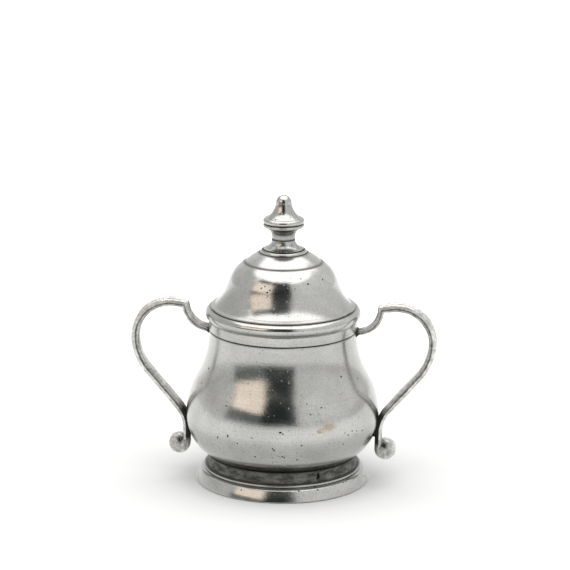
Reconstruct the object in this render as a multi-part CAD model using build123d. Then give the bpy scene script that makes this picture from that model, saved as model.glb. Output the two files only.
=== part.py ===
from build123d import *
import math
import os

# Small covered sugar bowl in cast pewter: a round-bellied bowl on a spreading foot, two scroll
# handles, and a domed lid with a turned finial. Millimetres. Z is the turning axis, and z = 0 is
# the plane that the foot stands on. The handles lie in the X-Z plane.

# Driving dimensions ---------------------------------------------------------------------------

# Bowl
BELLY_R = 45.9
BELLY_H = 19.8           # underside to the widest point
BASE_IN = 12.9           # edge of the flat underside, in from the belly
NECK_R = 35.0
SHOULDER_H = 40.5        # widest point to the straight neck
NECK_H = 1.3             # straight neck below the collar
SHOULDER_SHARE = 0.45    # how far from belly to neck the curve turns from round to hollow
BOWL_WALL = 1.8
FLOOR_THICK = 2.0

# Foot
FOOT_H = 12.2            # table to the bowl's underside
FOOT_LAP = 1.4           # foot's top edge, up round the bowl from its underside
FOOT_SPREAD = 5.9        # base edge, out from the top edge
FOOT_WALL = 2.6
FOOT_EDGE_H = 1.0        # upright edge at the base
STEP_SPREAD = 1.8        # half-round step above the skirt, out from the top edge
STEP_Z = 6.1             # underside of that step
STEP_THICK = 1.4
COVE_SPREAD = 0.7        # lower end of the cove, out from the top edge
COVE_DEPTH = 0.5         # hollow of the cove
FOOT_SOLDER_LEG = 1.5

# Collar round the mouth
COLLAR_H = 10.6
BAND_PROUD = 0.2         # band, out from the neck
BAND_H = 4.6
BEAD_ROUND = 2.8         # radius of the half-round bead
BEAD_PROUD = 1.7         # widest point of that bead, out from the band
BEAD_FOOT_PROUD = 0.8    # where the bead springs from the band
MOUTH_IN = 2.6           # mouth, in from the outside of the neck

# Lid, with heights above the seat
LID_EDGE_IN = 2.7        # lid's edge, in from the bead's widest point
LID_EDGE_H = 0.9
FLARE_IN = 1.9           # foot of the flare, in from the lid's edge
FLARE_H = 1.5
LID_WAIST_IN = 6.5       # where the hollow flare turns into the dome, in from the flare's foot
LID_WAIST_H = 12.6
LID_WAIST_LEAN = 15.6    # degrees from upright
CROWN_LINE_IN = 7.4      # turned line round the crown, in from the lid's waist
CROWN_LINE_H = 22.1
CROWN_H = 26.7
LID_WALL = 1.7
BEZEL_CLEARANCE = 0.4    # between the locating ring and the mouth
BEZEL_THICK = 1.3
BEZEL_DEPTH = 6.0

# Finial
DISC_H = 1.5
DISC_MARGIN = 1.5        # disc's edge, out from the stem's foot
CROWN_MARGIN = 0.4       # top of the lid's slope, out from the disc's edge
STEM_FOOT_R = 9.5
STEM_EDGE_H = 0.4
STEM_TOP_R = 5.6
STEM_H = 4.8
KNOB_NECK_R = 5.5
KNOB_NECK_H = 1.1
FLANGE_R = 9.7
FLANGE_Z = 5.8           # underside of the flange, above the knob's foot
BEAD_PITCH = 1.8         # the flange's two small beads
BEAD_SWELL = 0.8
FLANGE_TOP_R = 8.0
BELL_WAIST_R = 5.3
BELL_WAIST_Z = 13.1
TIP_R = 3.8
TIP_Z = 17.4             # where the bell ends and the round tip begins
SCREW_R = 1.5
SCREW_CLEARANCE = 0.25
SCREW_BITE = 9.0         # depth of thread in the knob
SCREW_HEAD_R = 3.2
SCREW_HEAD_H = 1.8
WASHER_R = 4.6
WASHER_THICK = 0.8

# Handles
STRAP_THICK = 3.4
STRAP_WIDTH = 7.2
STRAP_BEVEL = 0.9
ROOT_DROP = 0.7          # middle of the upper joint, below the collar
ROOT_SINK = 1.5          # strap running into the neck before it is cut to fit
ARM_BEND = (6.9, 2.9)    # point on the arm, out from the neck and up from the root
CORNER_OUT = 11.4        # sharp corner between the arm and the loop, out from the neck
CORNER_RISE = 11.7       # and up from the root
LOOP_ROUND = 17.0        # radius of the loop's round top
LOOP_OUT = 36.4          # middle of the strap at its furthest, out from the neck
LOOP_DROP = 4.5          # and down from the root
LOOP_START = 14.0        # degrees from upright at which the round top begins
RUN_LEAN = 1.4           # lean of the straight run over that of a line from loop to heel, 1 to 2
FALL_SHARE = 0.66        # the long bend's part of the two bends above and below the run
HEEL_DROP = 5.0          # lower joint, below the belly's widest point
HEEL_GAP = 0.3
CURL_ROUND = 2.8         # radius of the curl's middle line
CURL_DROP = 10.4         # start of the curl, below the heel
CURL_TURN = 200.0        # degrees
CURL_BULB_R = 2.4
PAD_MARGIN = 0.7         # solder standing out round the strap
UPPER_PAD_DEPTH = 1.5
LOWER_PAD_H = 9.0

# Radii and levels that follow from these ----------------------------------------------------------------

BASE_R = BELLY_R - BASE_IN
BAND_R = NECK_R + BAND_PROUD
BEAD_R = BAND_R + BEAD_PROUD
MOUTH_R = NECK_R - MOUTH_IN
LID_EDGE_R = BEAD_R - LID_EDGE_IN
FLARE_R = LID_EDGE_R - FLARE_IN
LID_WAIST_R = FLARE_R - LID_WAIST_IN
CROWN_LINE_R = LID_WAIST_R - CROWN_LINE_IN
DISC_R = STEM_FOOT_R + DISC_MARGIN
CROWN_R = DISC_R + CROWN_MARGIN
BEZEL_R = MOUTH_R - BEZEL_CLEARANCE
BEZEL_BORE_R = BEZEL_R - BEZEL_THICK
SCREW_HOLE_R = SCREW_R + SCREW_CLEARANCE
BELLY_Z = FOOT_H + BELLY_H
NECK_Z = BELLY_Z + SHOULDER_H
COLLAR_Z = NECK_Z + NECK_H
SEAT_Z = COLLAR_Z + COLLAR_H
BAND_TOP = COLLAR_Z + BAND_H
CROWN_Z = SEAT_Z + CROWN_H
DISC_Z = CROWN_Z + DISC_H
STEM_TOP = DISC_Z + STEM_H
CEILING_Z = CROWN_Z - LID_WALL
ROOT_Z = COLLAR_Z - ROOT_DROP
LOOP_X = NECK_R + LOOP_OUT
LOOP_Z = ROOT_Z - LOOP_DROP
HEEL_Z = BELLY_Z - HEEL_DROP

# Shared shapes --------------------------------------------------------------------------------


def turned(*edges):
    """Solid turned about Z from a closed outline drawn in radius and height."""
    return revolve(Plane.XZ * make_face(edges), Axis.Z)


def polygon_edges(*points):
    """Straight edges through the points, in order."""
    return [Line(start, end) for start, end in zip(points, points[1:])]


def ring(outer, inner, low, high):
    """Plain round ring about Z between two heights."""
    tall = high - low
    body = Cylinder(outer, tall) - Cylinder(inner, tall)
    return Pos(0, 0, (low + high) / 2) * body


def belly_radius(height, inset=0.0):
    """Radius of the lower belly at a height, on a wall set in by inset."""
    drop = BELLY_Z - FOOT_H
    step = BELLY_R - BASE_R
    round_r = (step**2 + drop**2) / (2 * step)
    reach = (round_r - inset) ** 2 - (BELLY_Z - height) ** 2
    return BELLY_R - round_r + math.sqrt(reach)


def shoulder(inset):
    """Round shoulder running into the hollow neck, as two arcs that meet in one direction."""
    low = Vector(BELLY_R - inset, BELLY_Z)
    high = Vector(NECK_R - inset, NECK_Z)
    turn = low + (high - low) * SHOULDER_SHARE
    return [TangentArc(low, turn, tangent=(0, 1)), TangentArc(high, turn, tangent=(0, -1))]


# Foot -----------------------------------------------------------------------------------------


def foot_ring():
    """Spreading cast foot: skirt, half-round step and cove, hollow, and cut to seat the bowl."""
    top_z = FOOT_H + FOOT_LAP
    top_r = belly_radius(top_z)
    foot_r = top_r + FOOT_SPREAD
    step_r = top_r + STEP_SPREAD
    step_neck = step_r - STEP_THICK / 2
    step_top = STEP_Z + STEP_THICK
    cove_r = top_r + COVE_SPREAD
    inner_top = BASE_R - FOOT_WALL
    inner_foot = foot_r - FOOT_WALL
    blank = turned(
        *polygon_edges((inner_foot, 0), (foot_r, 0), (foot_r, FOOT_EDGE_H)),
        TangentArc((foot_r, FOOT_EDGE_H), (step_neck, STEP_Z), tangent=(0, 1)),
        ThreePointArc((step_neck, STEP_Z), (step_r, STEP_Z + STEP_THICK / 2), (step_neck, step_top)),
        Line((step_neck, step_top), (cove_r, step_top)),
        ThreePointArc(
            (cove_r, step_top),
            ((cove_r + top_r) / 2 - COVE_DEPTH, (step_top + top_z) / 2),
            (top_r, top_z),
        ),
        *polygon_edges(
            (top_r, top_z),
            (inner_top, top_z),
            (inner_top, step_top),
            (inner_foot, FOOT_EDGE_H),
            (inner_foot, 0),
        ),
    )
    return blank - bowl_envelope()


def foot_solder():
    """Ring of solder in the corner between the foot and the bowl's underside."""
    outer = BASE_R - FOOT_WALL
    inner = outer - FOOT_SOLDER_LEG
    low = FOOT_H - FOOT_SOLDER_LEG
    return turned(*polygon_edges((outer, FOOT_H), (outer, low), (inner, FOOT_H), (outer, FOOT_H)))


# Bowl -----------------------------------------------------------------------------------------


def lower_bowl():
    """Cast lower half of the bowl, from its floor to the widest point of the belly."""
    floor_z = FOOT_H + FLOOR_THICK
    floor_r = belly_radius(floor_z, BOWL_WALL)
    inner = BELLY_R - BOWL_WALL
    return turned(
        Line((0, FOOT_H), (BASE_R, FOOT_H)),
        TangentArc((BELLY_R, BELLY_Z), (BASE_R, FOOT_H), tangent=(0, -1)),
        Line((BELLY_R, BELLY_Z), (inner, BELLY_Z)),
        TangentArc((inner, BELLY_Z), (floor_r, floor_z), tangent=(0, -1)),
        *polygon_edges((floor_r, floor_z), (0, floor_z), (0, FOOT_H)),
    )


def upper_bowl():
    """Cast upper half of the bowl, from the belly up to the turned line below the collar."""
    inner = NECK_R - BOWL_WALL
    return turned(
        Line((BELLY_R - BOWL_WALL, BELLY_Z), (BELLY_R, BELLY_Z)),
        *shoulder(0),
        *polygon_edges(
            (NECK_R, NECK_Z), (NECK_R, COLLAR_Z), (inner, COLLAR_Z), (inner, NECK_Z)
        ),
        *shoulder(BOWL_WALL),
    )


def rim_collar():
    """Plain band and half-round bead round the mouth, with the flat seat for the lid."""
    inner = NECK_R - BOWL_WALL
    bead_mid_r = BEAD_R - BEAD_ROUND
    bead_mid_z = SEAT_Z - BEAD_ROUND
    bead_foot_r = BAND_R + BEAD_FOOT_PROUD
    foot_drop = math.sqrt(BEAD_ROUND**2 - (bead_foot_r - bead_mid_r) ** 2)
    bead_foot = (bead_foot_r, bead_mid_z - foot_drop)
    return turned(
        *polygon_edges((inner, COLLAR_Z), (BAND_R, COLLAR_Z), (BAND_R, BAND_TOP), bead_foot),
        ThreePointArc(bead_foot, (BEAD_R, bead_mid_z), (bead_mid_r, SEAT_Z)),
        *polygon_edges(
            (bead_mid_r, SEAT_Z), (MOUTH_R, SEAT_Z), (MOUTH_R, BAND_TOP), (inner, COLLAR_Z)
        ),
    )


def bowl_envelope():
    """Bowl and collar filled in solid, to cut whatever is joined to their outside."""
    return turned(
        Line((0, FOOT_H), (BASE_R, FOOT_H)),
        TangentArc((BELLY_R, BELLY_Z), (BASE_R, FOOT_H), tangent=(0, -1)),
        *shoulder(0),
        *polygon_edges(
            (NECK_R, NECK_Z),
            (NECK_R, COLLAR_Z),
            (BAND_R, COLLAR_Z),
            (BAND_R, SEAT_Z),
            (0, SEAT_Z),
            (0, FOOT_H),
        ),
    )


# Lid ------------------------------------------------------------------------------------------


def lid_dome():
    """Domed lid: flat edge, hollow flare, round dome and sloping crown, bored for the screw."""
    lean = math.radians(LID_WAIST_LEAN)
    up = Vector(-math.sin(lean), math.cos(lean))
    inward = Vector(-math.cos(lean), -math.sin(lean))
    waist = Vector(LID_WAIST_R, SEAT_Z + LID_WAIST_H)
    line = Vector(CROWN_LINE_R, SEAT_Z + CROWN_LINE_H)
    flare_foot = (FLARE_R, SEAT_Z + FLARE_H)
    edge_top = (LID_EDGE_R, SEAT_Z + LID_EDGE_H)
    flare = TangentArc(waist, flare_foot, tangent=-up)
    dome = TangentArc(waist, line, tangent=up)
    waist_in = waist + inward * LID_WALL
    line_in = line + (dome % 1).rotate(Axis.Z, 90) * LID_WALL
    return turned(
        *polygon_edges((BEZEL_BORE_R, SEAT_Z), (LID_EDGE_R, SEAT_Z), edge_top, flare_foot),
        flare,
        dome,
        *polygon_edges(
            line,
            (CROWN_R, CROWN_Z),
            (SCREW_HOLE_R, CROWN_Z),
            (SCREW_HOLE_R, CEILING_Z),
            (CROWN_R - LID_WALL / 2, CEILING_Z),
            line_in,
        ),
        TangentArc(waist_in, line_in, tangent=up),
        TangentArc(waist_in, (BEZEL_BORE_R, SEAT_Z), tangent=-up),
    )


def lid_bezel():
    """Locating ring under the lid, which drops inside the mouth."""
    return ring(BEZEL_R, BEZEL_BORE_R, SEAT_Z - BEZEL_DEPTH, SEAT_Z)


# Finial ---------------------------------------------------------------------------------------


def crown_disc():
    """Low round-edged disc between the lid's crown and the finial."""
    return turned(
        Line((SCREW_HOLE_R, CROWN_Z), (DISC_R, CROWN_Z)),
        TangentArc((DISC_R, CROWN_Z), (STEM_FOOT_R, DISC_Z), tangent=(0, 1)),
        *polygon_edges((STEM_FOOT_R, DISC_Z), (SCREW_HOLE_R, DISC_Z), (SCREW_HOLE_R, CROWN_Z)),
    )


def finial_stem():
    """Hollow-sided foot of the finial, rising to its neck."""
    edge_top = (STEM_FOOT_R, DISC_Z + STEM_EDGE_H)
    return turned(
        *polygon_edges((SCREW_HOLE_R, DISC_Z), (STEM_FOOT_R, DISC_Z), edge_top),
        TangentArc((STEM_TOP_R, STEM_TOP), edge_top, tangent=(0, -1)),
        *polygon_edges((STEM_TOP_R, STEM_TOP), (SCREW_HOLE_R, STEM_TOP), (SCREW_HOLE_R, DISC_Z)),
    )


def finial_knob():
    """Finger knob: short neck, flange with two small beads, bell and round tip."""
    neck_top = (KNOB_NECK_R, STEM_TOP + KNOB_NECK_H)
    bead_r = FLANGE_R - BEAD_SWELL
    low = (bead_r, STEM_TOP + FLANGE_Z)
    groove = (bead_r, STEM_TOP + FLANGE_Z + BEAD_PITCH)
    high = (FLANGE_TOP_R, STEM_TOP + FLANGE_Z + 2 * BEAD_PITCH + BEAD_SWELL)
    tip = (TIP_R, STEM_TOP + TIP_Z)
    bore_top = STEM_TOP + SCREW_BITE
    return turned(
        *polygon_edges((SCREW_R, STEM_TOP), (KNOB_NECK_R, STEM_TOP), neck_top),
        TangentArc(neck_top, low, tangent=(0, 1)),
        ThreePointArc(low, (FLANGE_R, low[1] + BEAD_PITCH / 2), groove),
        ThreePointArc(groove, (FLANGE_R, groove[1] + BEAD_PITCH / 2), high),
        ThreePointArc(high, (BELL_WAIST_R, STEM_TOP + BELL_WAIST_Z), tip),
        TangentArc(tip, (0, tip[1] + TIP_R), tangent=(0, 1)),
        *polygon_edges(
            (0, tip[1] + TIP_R), (0, bore_top), (SCREW_R, bore_top), (SCREW_R, STEM_TOP)
        ),
    )


def lid_washer():
    """Washer that spreads the screw's pull under the lid's crown."""
    return ring(WASHER_R, SCREW_HOLE_R, CEILING_Z - WASHER_THICK, CEILING_Z)


def finial_screw():
    """Screw up through the washer, lid, disc and stem into the knob."""
    head_top = CEILING_Z - WASHER_THICK
    end = STEM_TOP + SCREW_BITE
    shank = Pos(0, 0, (head_top + end) / 2) * Cylinder(SCREW_R, end - head_top)
    head = Pos(0, 0, head_top - SCREW_HEAD_H / 2) * Cylinder(SCREW_HEAD_R, SCREW_HEAD_H)
    slot = Pos(0, 0, head_top - SCREW_HEAD_H) * Box(2 * SCREW_HEAD_R, 0.8, SCREW_HEAD_H)
    return shank + (head - slot)


# Handles --------------------------------------------------------------------------------------


def heel_x():
    """Middle of the upright stretch of strap at the lower joint."""
    return belly_radius(HEEL_Z) + HEEL_GAP + STRAP_THICK / 2


def fall_path(top, heel):
    """Long bend, straight run and heel bend, from upright at the top to upright at the heel."""
    across = top.X - heel.X
    down = top.Y - heel.Y
    turn = math.atan2(across, down) * RUN_LEAN
    bends = (down * math.sin(turn) - across * math.cos(turn)) / (1 - math.cos(turn))
    fall = JernArc(top, (0, -1), bends * FALL_SHARE, -math.degrees(turn))
    bend = JernArc(heel, (0, 1), bends * (1 - FALL_SHARE), -math.degrees(turn))
    return [fall, Line(fall @ 1, bend @ 1), bend]


def strap_path():
    """Middle line of the right-hand strap: arm, corner, loop, fall, heel and curl."""
    root = Vector(NECK_R, ROOT_Z)
    corner = root + (CORNER_OUT, CORNER_RISE)
    loop_mid = Vector(LOOP_X - LOOP_ROUND, LOOP_Z)
    loop_top = loop_mid + Vector(0, LOOP_ROUND).rotate(Axis.Z, LOOP_START)
    loop_side = loop_mid + Vector(0, LOOP_ROUND).rotate(Axis.Z, -45)
    loop_end = Vector(LOOP_X, LOOP_Z)
    heel = Vector(heel_x(), HEEL_Z)
    curl_start = heel - (0, CURL_DROP)
    return [
        Line(root - (ROOT_SINK, 0), root),
        ThreePointArc(root, root + ARM_BEND, corner),
        Line(corner, loop_top),
        ThreePointArc(loop_top, loop_side, loop_end),
        *fall_path(loop_end, heel),
        Line(heel, curl_start),
        JernArc(curl_start, (0, -1), CURL_ROUND, CURL_TURN),
    ]


def strap():
    """One bevelled strap in the X-Z plane, on the +X side, before it is cut to the bowl."""
    path = strap_path()
    outline = offset(Wire(path), STRAP_THICK / 2, kind=Kind.INTERSECTION, side=Side.BOTH)
    bulb = Pos(path[-1] @ 1) * Circle(CURL_BULB_R)
    blank = extrude(Plane.XZ * (make_face(outline) + bulb), STRAP_WIDTH / 2, both=True)
    return chamfer(blank.edges().filter_by(Axis.Y, reverse=True), STRAP_BEVEL)


def upper_pad():
    """Block of solder round the strap where its arm meets the neck."""
    long = ROOT_SINK + UPPER_PAD_DEPTH
    wide = STRAP_WIDTH + 2 * PAD_MARGIN
    tall = STRAP_THICK + 2 * PAD_MARGIN
    block = Pos(NECK_R - ROOT_SINK + long / 2, 0, ROOT_Z) * Box(long, wide, tall)
    outer_edges = block.edges().filter_by(Axis.X, reverse=True).group_by(Axis.X)[-1]
    return chamfer(outer_edges, PAD_MARGIN * 0.7)


def lower_pad():
    """Block of solder round the strap where it is held against the belly."""
    wide = STRAP_WIDTH + 2 * PAD_MARGIN
    long = heel_x() - BASE_R
    return Pos(BASE_R + long / 2, 0, HEEL_Z) * Box(long, wide, LOWER_PAD_H)


def both_sides(piece):
    """The piece and its mirror image on the other side of the bowl."""
    return Compound(children=[piece, mirror(piece, Plane.YZ)])


# Writing ---------------------------------------------------------------------------------------


def write_parts():
    """Write each piece to its own file, named after the piece."""
    envelope = bowl_envelope()
    blank = strap()
    handle = blank - envelope
    parts = {
        "foot_ring": foot_ring(),
        "foot_solder": foot_solder(),
        "lower_bowl": lower_bowl(),
        "upper_bowl": upper_bowl(),
        "rim_collar": rim_collar(),
        "right_handle": handle,
        "left_handle": mirror(handle, Plane.YZ),
        "upper_handle_solder": both_sides(upper_pad() - envelope - blank),
        "lower_handle_solder": both_sides(lower_pad() - envelope - blank),
        "lid_dome": lid_dome(),
        "lid_bezel": lid_bezel(),
        "crown_disc": crown_disc(),
        "finial_stem": finial_stem(),
        "finial_knob": finial_knob(),
        "lid_washer": lid_washer(),
        "finial_screw": finial_screw(),
    }
    os.makedirs("parts", exist_ok=True)
    for name, shape in parts.items():
        export_step(shape, f"parts/{name}.step")


write_parts()
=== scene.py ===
"""Small covered sugar bowl in old pewter, built piece by piece round its packed frame.

Lengths are metres. Z is the turning axis and the floor is at z = 0. The handles lie in the X-Z
plane. Outlines of turned pieces are lists of (radius, height).
"""

import math

import bmesh
import bpy
from bpy.props import FloatProperty, FloatVectorProperty, PointerProperty
from bpy.types import Operator, Panel, PropertyGroup
from mathutils import Matrix, Vector, noise


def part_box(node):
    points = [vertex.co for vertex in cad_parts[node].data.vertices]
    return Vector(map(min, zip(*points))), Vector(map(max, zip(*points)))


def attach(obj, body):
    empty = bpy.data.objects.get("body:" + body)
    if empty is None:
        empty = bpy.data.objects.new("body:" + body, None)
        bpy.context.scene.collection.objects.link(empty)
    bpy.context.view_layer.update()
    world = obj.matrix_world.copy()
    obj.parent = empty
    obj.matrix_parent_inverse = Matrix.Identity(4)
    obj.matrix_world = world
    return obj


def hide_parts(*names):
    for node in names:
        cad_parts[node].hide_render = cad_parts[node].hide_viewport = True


bl_info = {
    "name": "Covered pewter sugar bowl",
    "version": (1, 0, 0),
    "blender": (4, 5, 0),
    "location": "3D View > Sidebar > Sugar bowl",
    "description": "Builds a covered pewter sugar bowl round its packed frame",
    "category": "Add Mesh",
}

MM = 0.001
AROUND = 288                     # facets round a turned piece
SHARP_ANGLE = math.radians(38)   # edges bent more than this stay crisp
ROUNDED_BEND = math.radians(24)  # outline corners bent less than this aren't rounded
HOLLOW_BEND = math.radians(40)   # a hollow bent this much is full of dark skin
BASE_R = 33.0 * MM               # edge of the bowl's flat underside
LONG_WAVE = 30 * MM              # lengths over which turned metal runs out of true
SHORT_WAVE = 7 * MM

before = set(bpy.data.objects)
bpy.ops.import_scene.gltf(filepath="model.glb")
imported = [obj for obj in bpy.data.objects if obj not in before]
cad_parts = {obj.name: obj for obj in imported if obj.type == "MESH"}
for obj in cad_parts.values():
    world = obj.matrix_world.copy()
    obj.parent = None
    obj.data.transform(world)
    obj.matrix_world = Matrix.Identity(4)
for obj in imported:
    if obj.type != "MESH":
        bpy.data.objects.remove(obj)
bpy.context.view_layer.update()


def bottom(node):
    """Height of a packed node's underside."""
    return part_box(node)[0][2]


def top(node):
    """Height of a packed node's top."""
    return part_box(node)[1][2]


def reach(node):
    """Furthest that a packed node reaches along +X, which is a turned node's radius."""
    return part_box(node)[1][0]


# Sizes and finishes that a user may change ----------------------------------------------------


def length(name, description, millimetres):
    """A length shown in the panel, with its default given in millimetres."""
    return FloatProperty(
        name=name,
        description=description,
        default=millimetres * MM,
        min=0.0,
        unit="LENGTH",
        precision=4,
    )


def turn(name, description, degrees):
    """An angle shown in the panel, with its default given in degrees."""
    return FloatProperty(
        name=name, description=description, default=math.radians(degrees), subtype="ANGLE"
    )


def share(name, description, default, highest=1.0):
    """A plain number from nought to highest."""
    return FloatProperty(
        name=name, description=description, default=default, min=0.0, max=highest
    )


def tint(name, description, colour):
    """A colour shown in the panel."""
    return FloatVectorProperty(
        name=name, description=description, default=colour, size=3, min=0.0, max=4.0, subtype="COLOR"
    )


class BowlSizes(PropertyGroup):
    """Bowl, foot and collar."""

    neck_radius: length("Neck radius", "Outside of the straight neck below the collar", 35.0)
    neck_drop: length("Neck", "Straight neck below the collar", 1.3)
    shoulder_share: share("Shoulder", "Where the curve turns from round to hollow", 0.45)
    wall: length("Wall", "Thickness of the bowl's wall", 1.8)
    floor: length("Floor", "Thickness of the bowl's floor", 2.0)
    mouth_radius: length("Mouth radius", "Inside of the collar", 32.4)
    band_proud: length("Band", "How far the collar's band stands out from the neck", 0.2)
    band_height: length("Band height", "Height of the plain band", 4.6)
    bead_round: length("Bead", "Radius of the half-round bead", 2.8)
    bead_foot: length("Bead foot", "How far the bead's foot stands out from the band", 0.8)
    line_width: length("Line width", "Width of the turned lines", 0.8)
    line_depth: length("Line depth", "Depth of the turned lines", 0.4)
    foot_step: length("Foot step", "Half-round step above the skirt, out from the foot's top", 1.8)
    foot_step_height: length("Step height", "Underside of the step above the floor", 6.1)
    foot_step_thick: length("Step thickness", "Thickness of the step", 1.4)
    foot_wall: length("Foot wall", "Thickness of the foot", 2.6)
    cove_hollow: length("Cove hollow", "How far the cove bends in", 0.5)


class LidSizes(PropertyGroup):
    """Lid and its locating ring."""

    edge_height: length("Edge", "Upright edge of the lid", 0.9)
    flare_in: length("Flare in", "Foot of the flare, in from the edge", 1.9)
    flare_height: length("Flare height", "Foot of the flare, above the seat", 1.5)
    waist_radius: length("Waist radius", "Where the flare turns into the dome", 25.8)
    waist_height: length("Waist height", "The same, above the seat", 12.6)
    waist_lean: turn("Waist lean", "Lean of the lid's side at its waist", 15.6)
    crown_line_radius: length("Crown line radius", "Turned line round the crown", 18.4)
    crown_line_height: length("Crown line height", "The same, above the seat", 22.1)
    crown_radius: length("Crown radius", "Top of the lid's slope", 11.4)
    wall: length("Wall", "Thickness of the lid", 1.7)
    bezel_wall: length("Ring wall", "Thickness of the locating ring", 1.3)


class FinialSizes(PropertyGroup):
    """Finial knob and stem."""

    stem_top_radius: length("Stem top", "Radius at the top of the hollow stem", 5.6)
    stem_edge: length("Stem edge", "Upright edge at the stem's foot", 0.4)
    neck_radius: length("Neck", "Radius of the knob's neck", 5.5)
    neck_height: length("Neck height", "Straight neck of the knob", 1.1)
    flange_height: length("Flange height", "Underside of the flange above the knob's foot", 5.8)
    bead_pitch: length("Bead pitch", "Height of each small bead on the flange", 1.8)
    bead_swell: length("Bead swell", "How far the beads stand out", 0.8)
    flange_top_radius: length("Flange top", "Radius where the bell springs from the flange", 8.0)
    bell_waist_radius: length("Bell waist", "Radius at the bell's waist", 5.3)
    bell_waist_height: length("Bell waist height", "The same, above the knob's foot", 13.1)
    tip_radius: length("Tip", "Radius of the round tip", 3.8)
    hole: length("Hole", "Radius of the hole for the screw", 1.75)


class HandleSizes(PropertyGroup):
    """The two cast scroll handles, which differ a little."""

    width: length("Width", "Width of the strap", 7.2)
    thick: length("Thickness", "Thickness of the strap", 3.4)
    root_drop: length("Root", "Middle of the upper joint, below the collar", 0.7)
    corner_out: length("Corner out", "Sharp corner, out from the neck", 11.4)
    corner_rise: length("Corner rise", "Sharp corner, up from the root", 11.7)
    loop_round: length("Loop", "Radius of the loop's round top", 17.0)
    loop_out_left: length("Left loop", "Middle of the left strap at its furthest, from the neck", 35.4)
    loop_out_right: length("Right loop", "Middle of the right strap at its furthest", 36.1)
    loop_drop: length("Loop drop", "Furthest point, down from the root", 4.5)
    heel_drop: length("Heel", "Lower joint, below the belly's widest point", 8.3)
    curl_round: length("Curl", "Radius of the curl's middle line", 3.4)
    curl_drop: length("Curl drop", "Start of the curl, below the heel", 7.8)
    bumps: length("Bumps", "Height of the rough casting's bumps", 0.13)


class Finish(PropertyGroup):
    """Colours and polish of the metal."""

    pewter: tint("Pewter", "Rubbed pewter", (0.442, 0.44, 0.428))
    # dark skin in hollows and lines, and also the colour of the painted shade in the gaps between
    # pieces
    patina_and_shade: tint("Patina", "Dark skin in hollows and lines", (0.045, 0.046, 0.040))
    rough_pewter: tint("Rough pewter", "Cast pewter that was never turned", (0.70, 0.695, 0.675))
    solder: tint("Solder", "Blackened solder at the joints", (0.045, 0.046, 0.043))
    brown: tint("Brown stain", "Tea-coloured stain", (0.30, 0.20, 0.10))
    steel: tint("Steel", "Screw and washer", (0.40, 0.40, 0.40))
    polish: share("Polish", "Roughness of the turned pewter", 0.17)
    cast_polish: share("Cast polish", "Roughness of the cast pewter", 0.4)


class Studio(PropertyGroup):
    """Camera, light and floor."""

    distance: length("Distance", "Camera to the turning axis", 1386.0)
    height: length("Height", "Camera above the floor", 459.5)
    aside: length("Aside", "Camera to its right", 0.8)
    azimuth: turn("Azimuth", "Camera round from the front", 4.7)
    pitch: turn("Pitch", "Camera looks down", 14.74)
    roll: turn("Roll", "Camera leans", 0.332)
    lens: FloatProperty(name="Lens", description="Focal length in millimetres", default=191.6)
    sky: share("Sky", "Brightness of the white surroundings", 1.0, 4.0)
    overhead: share("Overhead", "Brightness of the soft light overhead", 2.7, 10.0)


# Outlines -------------------------------------------------------------------------------------


def point(radius, height):
    """A point of an outline."""
    return Vector((radius, height))


def aside(heading):
    """The direction a quarter turn left of heading."""
    return Vector((-heading.y, heading.x))


def rotated(arm, angle):
    """A plane vector turned by an angle."""
    return Matrix.Rotation(angle, 2) @ arm


def arc_from(start, end, heading, steps):
    """Points of the arc that leaves start along heading and ends at end."""
    chord = end - start
    across = chord.dot(aside(heading))
    if abs(across) < 1e-6 * chord.length:
        return [start.lerp(end, step / steps) for step in range(steps + 1)]
    centre = start + aside(heading) * (chord.length_squared / (2 * across))
    sweep = 2 * math.atan2(across, chord.dot(heading))
    return [centre + rotated(start - centre, sweep * step / steps) for step in range(steps + 1)]


def arc_through(start, middle, end, steps):
    """Points of the arc through three points."""
    first = middle - start
    last = end - start
    twice_area = 2 * (first.x * last.y - first.y * last.x)
    centre = start + Vector(
        (
            (last.y * first.length_squared - first.y * last.length_squared) / twice_area,
            (first.x * last.length_squared - last.x * first.length_squared) / twice_area,
        )
    )
    heading = aside(start - centre).normalized()
    if twice_area < 0:
        heading = -heading
    return arc_from(start, end, heading, steps)


def bend(start, heading, radius, angle, steps):
    """Points of a bend of that radius that turns by angle, anticlockwise if it is positive."""
    centre = start + aside(heading) * math.copysign(radius, angle)
    return [centre + rotated(start - centre, angle * step / steps) for step in range(steps + 1)]


def joined(*runs):
    """Runs of points end to end, each shared end kept once."""
    line = []
    for run in runs:
        for place in run:
            if not line or (place - line[-1]).length > 1e-6:
                line.append(place)
    return line


def notched(run, width, depth):
    """A run whose last point becomes a turned line cut into the metal on its left."""
    heading = (run[-1] - run[-2]).normalized()
    middle = run[-1]
    kept = [place for place in run if (place - middle).length > width]
    cut = [
        middle - heading * width / 2,
        middle + aside(heading) * depth,
        middle + heading * width / 2,
    ]
    return kept + cut


def softened(outline, radius, closed):
    """The outline with its sharp corners rounded a little, as rubbing leaves them."""
    count = len(outline)
    soft = []
    for index, corner in enumerate(outline):
        if not closed and index in (0, count - 1):
            soft.append(corner)
            continue
        back = outline[index - 1] - corner
        ahead = outline[(index + 1) % count] - corner
        bent = math.pi - back.angle(ahead)
        if bent < ROUNDED_BEND:
            soft.append(corner)
            continue
        cut = min(radius * math.tan(bent / 2), back.length * 0.45, ahead.length * 0.45)
        start = corner + back.normalized() * cut
        end = corner + ahead.normalized() * cut
        for part in (0.0, 0.33, 0.67, 1.0):
            soft.append(start.lerp(corner, part).lerp(corner.lerp(end, part), part))
    return soft


# Meshes ---------------------------------------------------------------------------------------


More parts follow.
